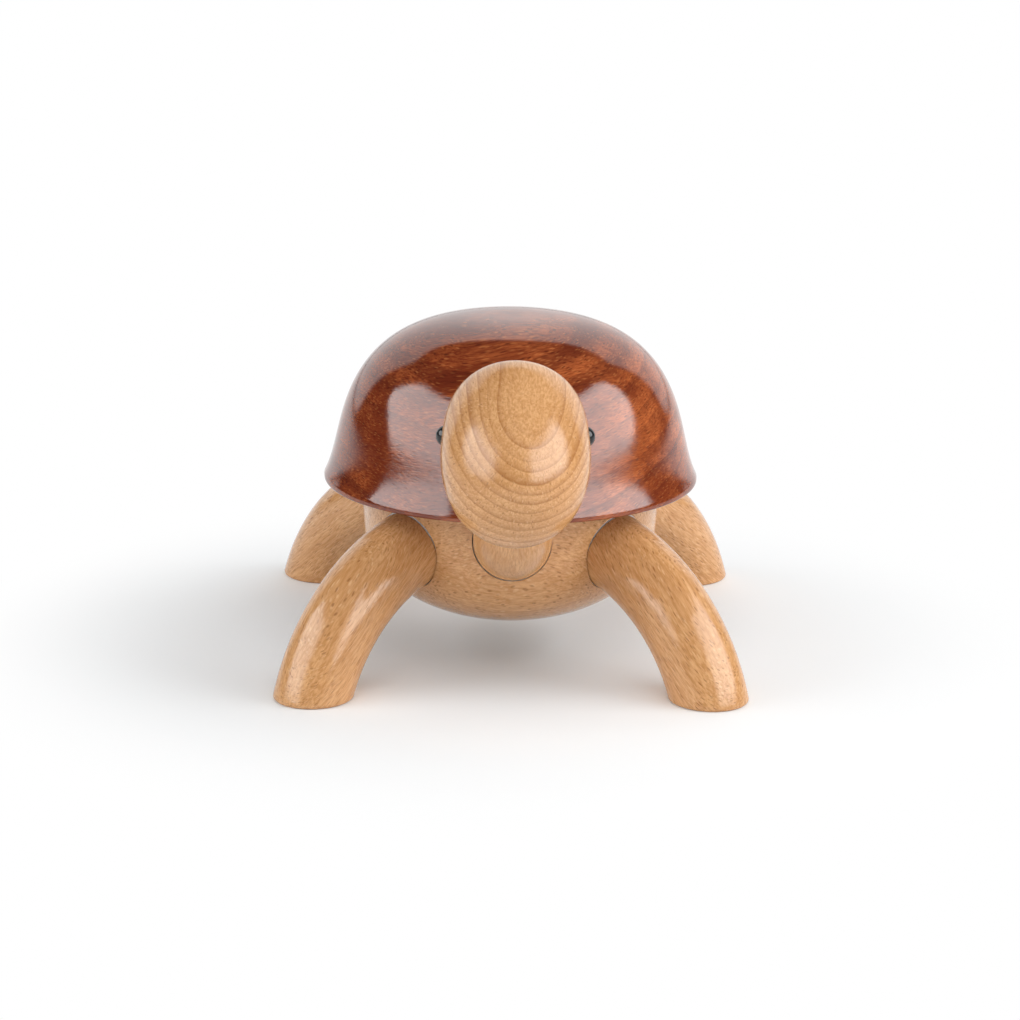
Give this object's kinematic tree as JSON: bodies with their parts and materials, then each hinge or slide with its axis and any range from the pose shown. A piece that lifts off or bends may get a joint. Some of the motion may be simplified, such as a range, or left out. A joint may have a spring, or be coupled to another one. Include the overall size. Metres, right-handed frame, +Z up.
{
  "type": "wooden turtle figurine",
  "caption": "Turned wooden turtle with a glossy dark domed shell on a pale bowl, bent round legs and neck that turn in seats, and an egg-shaped head.",
  "frame": {"origin": "on the floor under the middle of the whole figurine's box", "axes": "+Z up, the face towards -Y, the turtle's left side towards +X"},
  "size_m": [0.121, 0.1562, 0.086],
  "materials": {
    "beech": "satin clear lacquer over pale beech",
    "dark_hardwood": "high gloss lacquer over reddish-brown hardwood",
    "black_bead": "polished",
    "steel": "zinc-plated",
    "felt": "brown wool felt"
  },
  "bodies": {
    "body": {"bowl": "beech", "shell": "dark_hardwood", "felt_front_left": "felt", "felt_front_right": "felt", "felt_rear_left": "felt", "felt_rear_right": "felt", "felt_neck": "felt"},
    "leg_front_left": {"leg_front_left": "beech", "stud_front_left": "steel", "washer_front_left": "steel", "nut_front_left": "steel"},
    "leg_front_right": {"leg_front_right": "beech", "stud_front_right": "steel", "washer_front_right": "steel", "nut_front_right": "steel"},
    "leg_rear_left": {"leg_rear_left": "beech", "stud_rear_left": "steel", "washer_rear_left": "steel", "nut_rear_left": "steel"},
    "leg_rear_right": {"leg_rear_right": "beech", "stud_rear_right": "steel", "washer_rear_right": "steel", "nut_rear_right": "steel"},
    "neck": {"neck": "beech", "stud_neck": "steel", "washer_neck": "steel", "nut_neck": "steel", "head_dowel": "beech"},
    "head": {"head": "beech", "eye_left": "black_bead", "eye_right": "black_bead"}
  },
  "joints": [
    {"name": "front_left_leg_turn", "type": "hinge", "parent": "body", "child": "leg_front_left", "pos_m": [0.02461, -0.01578, 0.0312], "axis": [0.683, -0.683, -0.2588], "continuous": true},
    {"name": "front_right_leg_turn", "type": "hinge", "parent": "body", "child": "leg_front_right", "pos_m": [-0.02461, -0.01578, 0.0312], "axis": [0.683, 0.683, 0.2588], "continuous": true},
    {"name": "rear_left_leg_turn", "type": "hinge", "parent": "body", "child": "leg_rear_left", "pos_m": [0.0226, 0.03529, 0.0312], "axis": [0.6479, 0.7585, -0.0698], "continuous": true},
    {"name": "rear_right_leg_turn", "type": "hinge", "parent": "body", "child": "leg_rear_right", "pos_m": [-0.0226, 0.03529, 0.0312], "axis": [0.6479, -0.7585, 0.0698], "continuous": true},
    {"name": "neck_turn", "type": "hinge", "parent": "body", "child": "neck", "pos_m": [0, -0.02418, 0.0354], "axis": [0, -0.9659, 0.2588], "continuous": true},
    {"name": "head_turn", "type": "hinge", "parent": "neck", "child": "head", "pos_m": [0, -0.04883, 0.05306], "axis": [0, -0.5, 0.866], "continuous": true}
  ]
}
